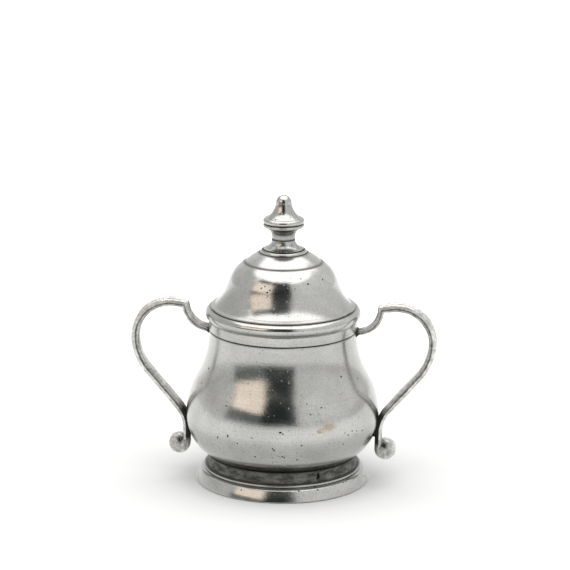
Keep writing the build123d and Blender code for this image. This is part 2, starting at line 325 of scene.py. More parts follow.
def hollow_stain(outline, closed):
    """How much dark skin each point of an outline holds: all in a sharp hollow, none on a ridge."""
    darkening = []
    count = len(outline)
    for index, place in enumerate(outline):
        if not closed and index in (0, count - 1):
            darkening.append(0.0)
            continue
        back = (place - outline[index - 1]).normalized()
        ahead = (outline[(index + 1) % count] - place).normalized()
        bent = math.atan2(back.x * ahead.y - back.y * ahead.x, back.dot(ahead))
        darkening.append(min(max(-bent / HOLLOW_BEND, 0.0), 1.0))
    return darkening


def wavered(place, amount):
    """A turned point moved in or out a little, so that the piece isn't quite true."""
    angle = math.atan2(place.y, place.x)
    waver = noise.noise(Vector((math.cos(angle) * 1.3, math.sin(angle) * 1.3, place.z / LONG_WAVE)))
    fine = noise.noise(place / SHORT_WAVE)
    pull = 1 + amount * (waver + 0.25 * fine)
    return Vector((place.x * pull, place.y * pull, place.z))


def dented(place, dents):
    """A turned point pushed in by each dent near it."""
    angle = math.degrees(math.atan2(place.y, place.x))
    radius = math.hypot(place.x, place.y)
    push = 0.0
    for dent_angle, height, wide, tall, depth in dents:
        along = math.radians(angle - dent_angle) * radius / (wide * MM)
        up = (place.z - height * MM) / (tall * MM)
        push += depth * MM * math.exp(-(along**2) - up**2)
    pull = (radius - push) / radius if radius else 1.0
    return Vector((place.x * pull, place.y * pull, place.z))


def finish_mesh(form, name, darkening=None):
    """Close the edit mesh into an object with smooth faces and crisp corners."""
    bmesh.ops.recalc_face_normals(form, faces=form.faces)
    mesh = bpy.data.meshes.new(name)
    form.to_mesh(mesh)
    form.free()
    mesh.shade_smooth()
    mesh.set_sharp_from_angle(angle=SHARP_ANGLE)
    if darkening:
        # how dark each point is: dark skin, dark lines and painted shade, kept for the materials
        layer = mesh.attributes.new("dark_skin_and_shade", "FLOAT", "POINT")
        layer.data.foreach_set("value", darkening)
    piece = bpy.data.objects.new(name, mesh)
    bpy.context.scene.collection.objects.link(piece)
    return piece


def turned_piece(name, outline, closed, soft, waver, dents=(), seams=()):
    """A piece turned about Z from an outline that runs with the metal on its left.

    A closed outline makes a ring. An open one starts and ends on the axis. soft is the radius
    of its worn corners and waver the share by which it runs out of true. A seam is a height with
    a reach and an amount of darkening round it: dark lines at joins and grooves, and painted
    shade in the gaps between pieces and under steps.
    """
    if closed and (outline[0] - outline[-1]).length < 1e-6:
        outline = outline[:-1]
    outline = softened(outline, soft, closed)
    hollows = hollow_stain(outline, closed)
    form = bmesh.new()
    rings = []
    darkening = []
    for place, hollow in zip(outline, hollows):
        # seam darkening: dark lines at joins and grooves, and painted shade in the gaps between pieces
        # and under steps
        seam = 0.0
        for height, spread, amount in seams:
            near = max(0.0, 1 - abs(place.y - height) / spread)
            seam = max(seam, amount * near)
        if place.x < 1e-7:
            rings.append([form.verts.new((0, 0, place.y))])
            darkening.append(0.0)
            continue
        ring = []
        for step in range(AROUND):
            angle = 2 * math.pi * step / AROUND
            spot = Vector((place.x * math.cos(angle), place.x * math.sin(angle), place.y))
            spot = dented(wavered(spot, waver), dents)
            ring.append(form.verts.new(spot))
            darkening.append(max(hollow, seam))
        rings.append(ring)
    pairs = list(zip(rings, rings[1:]))
    if closed:
        pairs.append((rings[-1], rings[0]))
    for ring, following in pairs:
        bridge(form, ring, following)
    return finish_mesh(form, name, darkening)


def bridge(form, ring, following):
    """Faces between two rings, either of which may be a single point."""
    count = max(len(ring), len(following))
    for step in range(count):
        after = (step + 1) % count
        if len(ring) == 1:
            form.faces.new((ring[0], following[step], following[after]))
        elif len(following) == 1:
            form.faces.new((ring[step], ring[after], following[0]))
        else:
            form.faces.new((ring[step], ring[after], following[after], following[step]))


def skin(form, rings):
    """Faces along a row of rings, with a flat face at each end."""
    for ring, following in zip(rings, rings[1:]):
        bridge(form, ring, following)
    form.faces.new(rings[0])
    form.faces.new(rings[-1])


def roughen(form, amount, shift, waves):
    """Push every point of an edit mesh in or out by waves of (length in mm, share of amount)."""
    form.normal_update()
    moves = []
    for vertex in form.verts:
        spot = vertex.co / MM + shift
        bump = sum(part * noise.noise(spot / wave) for wave, part in waves)
        moves.append(vertex.normal * amount * bump)
    for vertex, move in zip(form.verts, moves):
        vertex.co += move


def settle(piece, body, slot, material, *nodes):
    """Give a piece its material, hang it on the body it rides on and hide the packed nodes it stands
    for.
    """
    piece.data.materials.append(material)
    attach(piece, body)
    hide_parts(*nodes)


# Finishes -------------------------------------------------------------------------------------


# Noise in the metal: features per metre, detail and roughness.
LINES = (1000.0, 5.0, 0.8)       # turning lines
DIMPLES = (170.0, 2.0)           # shallow dimples
HAZE = (55.0, 4.0)               # cloudy patches
MOTTLE = (420.0, 5.0, 0.7)       # spots of dark skin
GRAIN = (1300.0, 5.0, 0.75)      # fine tooth
CRUST = (190.0, 7.0, 0.7)        # dark crust where the casting was left rough
ROUGH_LUMPS = (700.0, 6.0, 0.8)  # bumps in that crust
CAST_LUMPS = (520.0, 6.0, 0.72)  # the same three for metal as it was cast
CAST_GRAIN = (1700.0, 4.0, 0.7)
CAST_HAZE = (130.0, 3.0)

# Pits: cells per metre, share of the cells left whole, and size.
PITS = (300.0, 0.76, 0.2)
SPECKS = (760.0, 0.8, 0.3)
SCRATCHES = (520.0, 0.93, 0.16)
CROWDED_PITS = (640.0, 0.3, 0.38)
CAST_PITS = (480.0, 0.72, 0.28)


class Shader:
    """Adds nodes to one new material and links them."""

    def __init__(self, name):
        self.material = bpy.data.materials.new(name)
        self.material.use_nodes = True
        self.tree = self.material.node_tree
        self.tree.nodes.clear()

    def add(self, kind, inputs, **settings):
        """A new node with its settings, and its inputs set or linked."""
        node = self.tree.nodes.new("ShaderNode" + kind)
        for key, value in settings.items():
            setattr(node, key, value)
        for socket, value in inputs.items():
            if isinstance(value, bpy.types.NodeSocket):
                self.tree.links.new(value, node.inputs[socket])
            else:
                node.inputs[socket].default_value = value
        return node

    def work(self, operation, first, second=0.0, clamp=False):
        """One sum."""
        node = self.add("Math", {0: first, 1: second}, operation=operation, use_clamp=clamp)
        return node.outputs[0]

    def plus(self, base, part, weight):
        """base with a weighted part added."""
        return self.work("ADD", base, self.work("MULTIPLY", part, weight))

    def most(self, base, part, weight):
        """The larger of base and a weighted part."""
        return self.work("MAXIMUM", base, self.work("MULTIPLY", part, weight))

    def blend(self, factor, first, second):
        """Two colours mixed."""
        node = self.add("Mix", {0: factor, 6: first, 7: second}, data_type="RGBA")
        return node.outputs[2]

    def ramp(self, value, low, high, to_low=0.0, to_high=1.0):
        """A value eased from one range to another and held at its ends."""
        inputs = {0: value, 1: low, 2: high, 3: to_low, 4: to_high}
        return self.add("MapRange", inputs, interpolation_type="SMOOTHSTEP").outputs[0]

    def cloud(self, vector, scale, detail=4.0, roughness=0.6):
        """Smooth noise."""
        inputs = {"Vector": vector, "Scale": scale, "Detail": detail, "Roughness": roughness}
        return self.add("TexNoise", inputs).outputs[0]


def rgba(colour):
    """A colour with full alpha."""
    return (*colour, 1.0)


def toned(colour, factor):
    """A colour made darker or paler."""
    return rgba(Vector(colour) * factor)


def near_spot(shader, place, angle, radius, height, wide, tall):
    """One within an oval spot on a turned surface of that radius, fading to nought at its edge."""
    bearing = math.radians(angle)
    level = shader.add("VectorMath", {0: place, 1: (1, 1, 0)}, operation="MULTIPLY").outputs[0]
    arm = shader.add("VectorMath", {0: level}, operation="NORMALIZE").outputs[0]
    middle = (math.cos(bearing), math.sin(bearing), 0)
    across = shader.add("VectorMath", {0: arm, 1: middle}, operation="DISTANCE").outputs["Value"]
    along = shader.work("MULTIPLY", across, radius / wide)
    rise = shader.work("SUBTRACT", shader.add("SeparateXYZ", {0: place}).outputs[2], height * MM)
    up = shader.work("MULTIPLY", rise, 1 / (tall * MM))
    offset = shader.add("CombineXYZ", {0: along, 1: up}).outputs[0]
    away = shader.add("VectorMath", {0: offset}, operation="LENGTH").outputs["Value"]
    return shader.ramp(away, 0.4, 1.0, 1.0, 0.0)


def pit_field(shader, place, scale, rarity, size):
    """Scattered casting pits, one in some of the cells."""
    cells = shader.add("TexVoronoi", {"Vector": place, "Scale": scale})
    chance = shader.add("SeparateColor", {0: cells.outputs["Color"]})
    chosen = shader.work("GREATER_THAN", chance.outputs[0], rarity)
    grown = shader.work("MULTIPLY", chance.outputs[1], size)
    hole = shader.work("SUBTRACT", grown, cells.outputs["Distance"])
    edge = shader.ramp(hole, 0.0, size * 0.4)
    return shader.work("MULTIPLY", chosen, edge)


def casting_pits(shader, place, pit_spots):
    """Pits, specks and fine scratches all over, and crowds of pits at the spots."""
    pits = pit_field(shader, place, *PITS)
    pits = shader.most(pits, pit_field(shader, place, *SPECKS), 0.6)
    for tilt in (0.5, -0.9):
        inputs = {"Vector": place, "Rotation": (tilt, 0.3, tilt), "Scale": (1.0, 1.0, 0.12)}
        strokes = shader.add("Mapping", inputs).outputs[0]
        pits = shader.most(pits, pit_field(shader, strokes, *SCRATCHES), 0.45)
    for spot in pit_spots:
        crowd = pit_field(shader, place, *CROWDED_PITS)
        pits = shader.most(pits, crowd, near_spot(shader, place, *spot))
    return pits


def left_rough(shader, place, height, band):
    """How much of the casting was left rough, between two heights in mm, and its dark crust."""
    low, high = band
    fade = 0.3
    above = shader.ramp(height, (low - fade) * MM, (low + fade) * MM)
    below = shader.ramp(height, (high - fade) * MM, (high + fade) * MM, 1.0, 0.0)
    rough = shader.work("MULTIPLY", above, below)
    squashed = {0: place, 1: (1.0, 1.0, 2.6)}
    smeared = shader.add("VectorMath", squashed, operation="MULTIPLY").outputs[0]
    crust = shader.ramp(shader.cloud(smeared, *CRUST), 0.36, 0.66, 0.92, 0.58)
    return rough, crust


def rubbed_colour(shader, pewter, haze, lines, grain):
    """Rubbed pewter's own colour, a little cloudy, with darker turning lines and grain."""
    pale = shader.blend(shader.ramp(haze, 0.35, 0.68), toned(pewter, 0.9), toned(pewter, 1.07))
    rub = shader.work("MULTIPLY", shader.ramp(lines, 0.3, 0.7), 0.12)
    pale = shader.blend(rub, pale, toned(pewter, 0.5))
    tooth = shader.work("MULTIPLY", shader.ramp(grain, 0.42, 0.66), 0.34)
    return shader.blend(tooth, pale, toned(pewter, 0.5))


def metal_surface(shader, colour, gloss, relief, **extra):
    """Finish a metal from its colour, roughness and relief in millimetres."""
    bump = shader.add("Bump", {"Height": relief, "Distance": MM, "Strength": 1.0}).outputs[0]
    inputs = {"Base Color": colour, "Metallic": 1.0, "Roughness": gloss, "Normal": bump}
    surface = shader.add("BsdfPrincipled", {**inputs, **extra})
    shader.add("OutputMaterial", {0: surface.outputs[0]})
    return shader.material


def turned_pewter(
    name, finish, pit_spots=(), brown_spots=(), gouges=(), rough_band=None, worn=0.0
):
    """Pewter turned on a lathe, rubbed bright, with fine lines, pits and dark hollows.

    pit_spots, brown_spots and gouges are (angle, radius, height, width, height) in degrees and mm.
    rough_band is a pair of heights in mm between which the casting was left rough and dark.
    """
    shader = Shader(name)
    place = shader.add("TexCoord", {}).outputs["Object"]
    parts = shader.add("SeparateXYZ", {0: place})
    height = parts.outputs[2]
    flat = shader.add("CombineXYZ", {0: parts.outputs[0], 1: parts.outputs[1]}).outputs[0]
    radius = shader.add("VectorMath", {0: flat}, operation="LENGTH").outputs["Value"]
    rings = shader.add("CombineXYZ", {0: radius, 1: height}).outputs[0]
    lines = shader.cloud(rings, *LINES)
    dimples = shader.cloud(place, *DIMPLES)
    haze = shader.cloud(place, *HAZE)
    mottle = shader.cloud(place, *MOTTLE)
    grain = shader.cloud(place, *GRAIN)

    # per-point darkening from the mesh: dark skin in hollows, dark lines at the joins, and painted
    # shade in the gaps between pieces
    dark_skin_and_shade = shader.add("Attribute", {}, attribute_name="dark_skin_and_shade").outputs["Fac"]
    dark = shader.plus(dark_skin_and_shade, shader.ramp(mottle, 0.58, 0.8), 0.22 + worn)
    if rough_band:
        rough, crust = left_rough(shader, place, height, rough_band)
        dark = shader.plus(dark, rough, crust)
    holes = 0.0
    for gouge in gouges:
        holes = shader.work("MAXIMUM", holes, near_spot(shader, place, *gouge))
    pits = shader.work("MAXIMUM", casting_pits(shader, place, pit_spots), holes)
    dark = shader.work("MAXIMUM", dark, pits, clamp=True)

    pale = rubbed_colour(shader, finish.pewter, haze, lines, grain)
    for spot in brown_spots:
        patch = near_spot(shader, place, *spot)
        broken = shader.work("MULTIPLY", patch, shader.ramp(mottle, 0.4, 0.62, 0.15, 0.85))
        pale = shader.blend(broken, pale, rgba(finish.brown))
    colour = shader.blend(dark, pale, rgba(finish.patina_and_shade))
    colour = shader.blend(holes, colour, toned(finish.patina_and_shade, 0.1))

    gloss = shader.ramp(haze, 0.3, 0.7, finish.polish - 0.03, finish.polish + 0.05)
    gloss = shader.plus(gloss, dark, 0.28)

    relief = shader.work("MULTIPLY", lines, 0.02)
    for layer, weight in ((grain, 0.007), (dimples, 0.022), (haze, 0.05), (pits, -0.08)):
        relief = shader.plus(relief, layer, weight)
    if rough_band:
        lumps = shader.work("MULTIPLY", shader.cloud(place, *ROUGH_LUMPS), 0.35)
        relief = shader.plus(relief, rough, lumps)
    tangent = shader.add("Tangent", {}, direction_type="RADIAL", axis="Z").outputs[0]
    return metal_surface(shader, colour, gloss, relief, Anisotropic=0.35, Tangent=tangent)


def cast_metal(name, colour, finish, darkness, lump, gloss):
    """Metal as it left the mould: bumps, dark skin between them and worn high places.

    darkness is the amount of dark skin, lump the height of the bumps in mm and gloss the
    roughness of the bare metal.
    """
    shader = Shader(name)
    place = shader.add("TexCoord", {}).outputs["Object"]
    lumps = shader.cloud(place, *CAST_LUMPS)
    grain = shader.cloud(place, *CAST_GRAIN)
    haze = shader.cloud(place, *CAST_HAZE)
    pits = pit_field(shader, place, *CAST_PITS)
    # per-point darkening from the mesh: dark skin, darker ridges and hollows, solder smear, and
    # painted shade on the straps' inner faces at the heels
    dark_skin_and_shade = shader.add("Attribute", {}, attribute_name="dark_skin_and_shade").outputs["Fac"]
    dark = shader.plus(dark_skin_and_shade, shader.ramp(lumps, 0.62, 0.36), darkness)
    dark = shader.work("MAXIMUM", dark, shader.work("MULTIPLY", pits, 0.8), clamp=True)
    pale = shader.blend(shader.ramp(haze, 0.35, 0.65), toned(colour, 0.85), toned(colour, 1.1))
    grit = shader.work("MULTIPLY", shader.ramp(grain, 0.46, 0.6), 0.62)
    pale = shader.blend(grit, pale, toned(colour, 0.45))
    shade = shader.blend(dark, pale, rgba(finish.patina_and_shade))
    polish = shader.work("ADD", shader.work("MULTIPLY", dark, 0.25), gloss)
    relief = shader.work("MULTIPLY", lumps, lump)
    relief = shader.plus(relief, grain, lump * 0.3)
    relief = shader.plus(relief, pits, -0.1)
    return metal_surface(shader, shade, polish, relief)


# Foot, bowl and collar ------------------------------------------------------------------------


SKIRT_LEAN = math.radians(19)    # lean of the foot's skirt at the floor
SKIRT_RISE = 0.5 * MM            # where the skirt starts, above the floor
HIP_IN = 2.15 * MM               # bend in the skirt, in from the foot's edge
HIP_HEIGHT = 5.0 * MM
FAINT_LINE = (0.4 * MM, 0.14 * MM)   # width and depth of the line round the collar's band
KNOB_LINE = (0.4 * MM, 0.2 * MM)     # the same for the line under the knob's lower bead


def foot_outline(sizes):
    """Outline of the foot, from the inside of its base round to the outside and back."""
    top_z = top("foot_ring")
    base_r = reach("foot_ring")
    top_r = belly_radius(top_z)
    inner_top = belly_radius(bottom("lower_bowl")) - sizes.foot_wall
    inner_foot = base_r - sizes.foot_wall
    step_r = top_r + sizes.foot_step
    step_z = sizes.foot_step_height
    step_neck = step_r - sizes.foot_step_thick / 2
    step_top = step_z + sizes.foot_step_thick
    cove_r = top_r + 0.7 * MM
    edge = 1.0 * MM
    cove_top = point(top_r + 0.25 * MM, top_z - 0.4 * MM)
    cove_mid = point((cove_r + top_r) / 2 - sizes.cove_hollow, (step_top + top_z) / 2)
    hip = point(base_r - HIP_IN, HIP_HEIGHT)
    up = point(-math.sin(SKIRT_LEAN), math.cos(SKIRT_LEAN))
    upright = arc_from(point(base_r, SKIRT_RISE), hip, up, 14)
    heading = (upright[-1] - upright[-2]).normalized()
    skirt = joined(upright, arc_from(hip, point(step_neck, step_z), heading, 12))
    step = arc_through(
        point(step_neck, step_z),
        point(step_r, step_z + sizes.foot_step_thick / 2),
        point(step_neck, step_top),
        8,
    )
    cove = arc_through(point(cove_r, step_top), cove_mid, cove_top, 14)
    return joined(
        [point(inner_foot, 0), point(base_r - 0.4 * MM, 0)],
        skirt,
        step,
        cove,
        [point(top_r - 0.4 * MM, top_z), point(inner_top, bottom("lower_bowl") + 0.4 * MM)],
        [point(inner_top, step_top), point(inner_foot, edge)],
    )


def belly_radius(height, inset=0.0):
    """Radius of the lower belly at a height, on a wall set in by inset."""
    belly = reach("lower_bowl")
    drop = top("lower_bowl") - bottom("lower_bowl")
    step = belly - BASE_R
    round_r = (step**2 + drop**2) / (2 * step)
    span = (round_r - inset) ** 2 - (top("lower_bowl") - height) ** 2
    return belly - round_r + math.sqrt(span)


def side_line(sizes, inset, steps):
    """Belly, round shoulder and hollow neck from the underside up, on a wall set in by inset."""
    belly = reach("lower_bowl") - inset
    belly_z = top("lower_bowl")
    base_z = bottom("lower_bowl") + (sizes.floor if inset else 0.0)
    neck = sizes.neck_radius - inset
    neck_z = top("upper_bowl") - sizes.neck_drop
    base = point(belly_radius(base_z, inset), base_z)
    low = point(belly, belly_z)
    high = point(neck, neck_z)
    turning = low.lerp(high, sizes.shoulder_share)
    lower = arc_from(low, base, point(0, -1), steps)[::-1]
    shoulder = arc_from(low, turning, point(0, 1), steps)
    neck_run = arc_from(high, turning, point(0, -1), steps)[::-1]
    return joined(lower, shoulder, neck_run)


def bowl_outline(sizes):
    """Outline of the bowl's one turned wall, from the middle of its underside to its floor."""
    top_z = top("upper_bowl")
    nick = sizes.line_depth
    outer = side_line(sizes, 0.0, 26)
    inner = side_line(sizes, sizes.wall, 22)[::-1]
    rim = [
        point(sizes.neck_radius, top_z - nick * 1.6),
        point(sizes.neck_radius - nick * 1.4, top_z),
        point(sizes.neck_radius - sizes.wall, top_z),
    ]
    base = point(0, bottom("lower_bowl"))
    floor = point(0, bottom("lower_bowl") + sizes.floor)
    return joined([base], outer, rim, inner, [floor])


def collar_outline(sizes):
    """Outline of the collar: band, faint line, half-round bead and the flat seat."""
    low = bottom("rim_collar")
    seat = top("rim_collar")
    bead = reach("rim_collar")
    band = sizes.neck_radius + sizes.band_proud
    inner = sizes.neck_radius - sizes.wall
    band_top = low + sizes.band_height
    round_r = sizes.bead_round
    middle = point(bead - round_r, seat - round_r)
    foot_r = band + sizes.bead_foot
    foot = point(foot_r, middle.y - math.sqrt(round_r**2 - (foot_r - middle.x) ** 2))
    rise = arc_through(
        point(band, band_top), point(band + 0.25 * MM, (band_top + foot.y) / 2), foot, 3
    )
    round_bead = arc_through(foot, point(bead, middle.y), point(middle.x, seat), 26)
    nick = sizes.line_depth
    faint = notched([point(band, low + nick), point(band, band_top)], *FAINT_LINE)
    return joined(
        [point(inner, low), point(band - nick * 1.2, low)],
        faint,
        rise[1:],
        round_bead,
        [point(sizes.mouth_radius, seat), point(sizes.mouth_radius, band_top)],
    )


# Wear on the turned pieces. Dents are (angle, height, width, height, depth). Pits, stains and
# gouges are (angle, radius, height, width, height). All are in degrees and millimetres.
FOOT_DENTS = (
    (-56.5, 10.3, 0.9, 1.6, 0.7),
    (-118.0, 9.0, 4.0, 1.6, 0.25),
    (-78.0, 11.0, 6.0, 1.4, 0.2),
    (-30.0, 4.0, 1.4, 0.9, 0.22),
)
FOOT_PITS = ((-66, 40, 5, 11, 4), (-120, 40, 4, 9, 4), (-35, 40, 4, 12, 3))
FOOT_GOUGES = ((-56.5, 35.5, 10.4, 0.9, 2.0), (-57.5, 35.6, 9.4, 1.0, 0.8))
COVE_BAND = (7.7, 20.0)          # heights between which the foot was never turned
# painted shade in the crease above the foot's step
STEP_SEAM_HEIGHT = 7.6 * MM
BOWL_DENTS = (
    (-110, 24.0, 2.2, 1.6, 0.16),
    (-72, 22.0, 1.2, 0.9, 0.16),
    (-84, 19.5, 0.6, 0.5, 0.22),
    (-86, 25.0, 0.7, 1.1, 0.22),
    (-125, 46.0, 5.0, 6.0, 0.14),
    (-45, 52.0, 7.0, 8.0, 0.12),
    (60, 40.0, 8.0, 9.0, 0.15),
    (150, 55.0, 7.0, 7.0, 0.12),
)
BOWL_PITS = (
    (-82, 44, 23, 10, 9),
    (-110, 44, 30, 8, 6),
    (-62, 42, 46, 9, 7),
    (-40, 44, 30, 9, 6),
    (70, 44, 26, 14, 8),
)
BOWL_STAINS = ((-56, 44.5, 37, 4.6, 2.6), (-62, 44.5, 36, 3.0, 1.8))
BOWL_GOUGES = (
    (-86.5, 45.5, 36.2, 0.9, 0.45),
    (-85.0, 45.5, 35.5, 0.5, 0.4),
    (-91.0, 45.2, 28.2, 0.45, 0.5),
    (-90.2, 45.2, 27.3, 0.5, 0.6),
    (-85.3, 44.3, 24.0, 0.8, 0.4),
    (-102.0, 44.0, 23.2, 0.55, 0.5),
    (-122.7, 44.0, 45.5, 0.6, 0.4),
    (-119.0, 45.9, 32.0, 0.5, 0.9),
    (-46.5, 45.2, 27.5, 0.6, 0.35),
    (-69.7, 43.0, 48.5, 0.5, 0.3),
    (60.0, 45.2, 27.5, 0.8, 0.4),
    (130.0, 44.0, 45.5, 0.6, 0.5),
)
COLLAR_PITS = ((-70, 36, 80, 9, 3),)
LID_DENTS = ((-50, 100.0, 5.0, 4.0, 0.12), (100, 98.0, 6.0, 5.0, 0.12))
LID_PITS = ((-104, 26, 99, 6.5, 6), (-75, 25, 99, 5, 4), (-98, 31, 89, 7, 3))
KNOB_PITS = ((-100, 8, 128, 5, 4),)


class SUGARBOWL_OT_foot(Operator):
    """Build the spreading foot and the solder inside it"""

    bl_idname = "sugar_bowl.foot"
    bl_label = "Foot"

    def execute(self, context):
        sizes = context.scene.bowl_sizes
        finish = context.scene.bowl_finish
        # a dark line where the foot meets the bowl, and painted shade in the crease above the step
        seams = ((top("foot_ring"), 0.9 * MM, 0.9), (STEP_SEAM_HEIGHT, 0.5 * MM, 0.8))
        foot = turned_piece(
            "foot_casting", foot_outline(sizes), True, 0.2 * MM, 0.002, FOOT_DENTS, seams
        )
        metal = turned_pewter(
            "foot_pewter",
            finish,
            pit_spots=FOOT_PITS,
            gouges=FOOT_GOUGES,
            rough_band=COVE_BAND,
            worn=0.12,
        )
        settle(foot, "bowl", "cast_pewter", metal, "foot_ring")

        outer = BASE_R - sizes.foot_wall
        leg = 1.5 * MM
        high = top("foot_solder")
        low_end = point(outer, high - leg)
        high_end = point(outer - leg, high)
        fillet = arc_from(low_end, high_end, point(-0.3, 1).normalized(), 6)
        outline = joined(fillet, [point(outer + 0.1 * MM, high)])[::-1]
        bead = turned_piece("foot_solder_ring", outline, True, 0.05 * MM, 0.012)
        solder = cast_metal(
            "foot_solder_metal", finish.solder, finish, darkness=0.5, lump=0.3, gloss=0.4
        )
        settle(bead, "bowl", "solder", solder, "foot_solder")
        return {"FINISHED"}


class SUGARBOWL_OT_bowl(Operator):
    """Build the round-bellied bowl"""

    bl_idname = "sugar_bowl.bowl"
    bl_label = "Bowl"

    def execute(self, context):
        outline = bowl_outline(context.scene.bowl_sizes)
        # painted shade in the groove under the collar's band, and a dark line with painted shade where
        # the belly meets the foot
        seams = ((top("upper_bowl"), 0.8 * MM, 1.0), (top("foot_ring"), 1.5 * MM, 0.75))
        bowl = turned_piece("turned_bowl", outline, False, 0.1 * MM, 0.0012, BOWL_DENTS, seams)
        finish = context.scene.bowl_finish
        metal = turned_pewter("bowl_pewter", finish, BOWL_PITS, BOWL_STAINS, BOWL_GOUGES)
        settle(bowl, "bowl", "cast_pewter", metal, "lower_bowl", "upper_bowl")
        return {"FINISHED"}


class SUGARBOWL_OT_collar(Operator):
    """Build the collar with its half-round bead"""

    bl_idname = "sugar_bowl.collar"
    bl_label = "Collar"

    def execute(self, context):
        outline = collar_outline(context.scene.bowl_sizes)
        # painted shade in the groove under the band and in the gap where the lid sits on the seat
        seams = ((bottom("rim_collar"), 0.5 * MM, 1.0), (top("rim_collar"), 0.35 * MM, 0.6))
        collar = turned_piece("collar_turning", outline, True, 0.1 * MM, 0.001, seams=seams)
        metal = turned_pewter("collar_pewter", context.scene.bowl_finish, COLLAR_PITS)
        settle(collar, "bowl", "cast_pewter", metal, "rim_collar")
        return {"FINISHED"}


# Lid and finial -------------------------------------------------------------------------------


SLOPE_BULGE = point(0.15, 0.25) * MM             # crown's slope, out from its chord's middle
LINE_OUTWARD = point(0.75, 1.0).normalized()     # out of the metal at the crown's line
DISC_EDGE = 0.1 * MM             # upright edge of the disc on the crown
DISC_SHOULDER = 0.2 * MM         # end of its round rim, out from the stem
DISC_NICK = 0.25 * MM            # depth of the nick round the stem
DISC_NICK_END = 0.6 * MM         # inside of that nick, in from the stem's edge
DISC_EASE = 0.3 * MM             # how far each underside stops short of its edge
STEM_EASE = 0.15 * MM
NECK_EASE = 0.2 * MM
STEM_DARKER = 0.73               # tone of the stem, as a share of the handles'


def lid_outline(sizes, lines, hole):
    """Outline of the lid: flat seat, flare, dome, turned line, crown, hole and hollow inside."""
    seat = bottom("lid_dome")
    edge = reach("lid_dome")
    crown_z = top("lid_dome")
    lean = sizes.waist_lean
    up = point(-math.sin(lean), math.cos(lean))
    waist = point(sizes.waist_radius, seat + sizes.waist_height)
    line = point(sizes.crown_line_radius, seat + sizes.crown_line_height)
    flare_foot = point(edge - sizes.flare_in, seat + sizes.flare_height)
    flare = arc_from(waist, flare_foot, -up, 24)[::-1]
    dome = notched(arc_from(waist, line, up, 26), lines.line_width, lines.line_depth)
    crown = point(sizes.crown_radius, crown_z)
    slope_mid = line.lerp(crown, 0.5) + SLOPE_BULGE
    slope = arc_through(dome[-1], slope_mid, crown, 8)
    wall = sizes.wall
    waist_in = waist + aside(up) * wall
    bore = reach("lid_bezel") - sizes.bezel_wall
    line_in = line - LINE_OUTWARD * wall
    inner_flare = arc_from(waist_in, point(bore, seat), -up, 18)
    inner_dome = arc_from(waist_in, line_in, up, 18)[::-1]
    ceiling = crown_z - wall
    return joined(
        [point(bore, seat), point(edge, seat), point(edge, seat + sizes.edge_height)],
        flare,
        dome,
        slope,
        [point(hole, crown_z), point(hole, ceiling)],
        [point(sizes.crown_radius - wall / 2, ceiling)],
        inner_dome,
        inner_flare,
    )


def disc_outline(hole):
    """Outline of the low round-edged disc on the crown."""
    low = bottom("crown_disc")
    high = top("crown_disc")
    edge = reach("crown_disc")
    inset = reach("finial_stem")
    shoulder = point(inset + DISC_SHOULDER, high)
    rim = arc_from(point(edge, low + DISC_EDGE), shoulder, point(0, 1), 10)
    nick = [point(inset - DISC_NICK, high - DISC_NICK), point(inset - DISC_NICK_END, high)]
    underside = [point(hole, low), point(edge - DISC_EASE, low)]
    return joined(underside, rim, nick, [point(hole, high)])


def stem_outline(sizes):
    """Outline of the finial's hollow-sided foot."""
    low = bottom("finial_stem")
    high = top("finial_stem")
    edge = reach("finial_stem")
    edge_top = point(edge, low + sizes.stem_edge)
    neck = point(sizes.stem_top_radius, high)
    side = arc_from(neck, edge_top, point(0, -1), 18)[::-1]
    underside = [point(sizes.hole, low), point(edge - STEM_EASE, low)]
    return joined(underside, side, [point(sizes.hole, high)])


def knob_outline(sizes):
    """Outline of the knob: neck, flange with two small beads, bell and round tip."""
    low = bottom("finial_knob")
    bead_r = reach("finial_knob") - sizes.bead_swell
    pitch = sizes.bead_pitch
    under = point(bead_r, low + sizes.flange_height)
    groove = point(bead_r, under.y + pitch)
    over = point(sizes.flange_top_radius, under.y + 2 * pitch + sizes.bead_swell)
    neck_top = point(sizes.neck_radius, low + sizes.neck_height)
    tip_z = top("finial_knob") - sizes.tip_radius
    tip = point(sizes.tip_radius, tip_z)
    edge = reach("finial_knob")
    waist = point(sizes.bell_waist_radius, low + sizes.bell_waist_height)
    return joined(
        [point(0, low), point(sizes.neck_radius - NECK_EASE, low)],
        arc_from(neck_top, under, point(0, 1), 16),
        notched(arc_through(under, point(edge, under.y + pitch / 2), groove, 9), *KNOB_LINE),
        arc_through(groove, point(edge, groove.y + pitch / 2), over, 12)[1:],
        arc_through(over, waist, tip, 22),
        arc_from(tip, point(0, tip_z + sizes.tip_radius), point(0, 1), 12),
    )


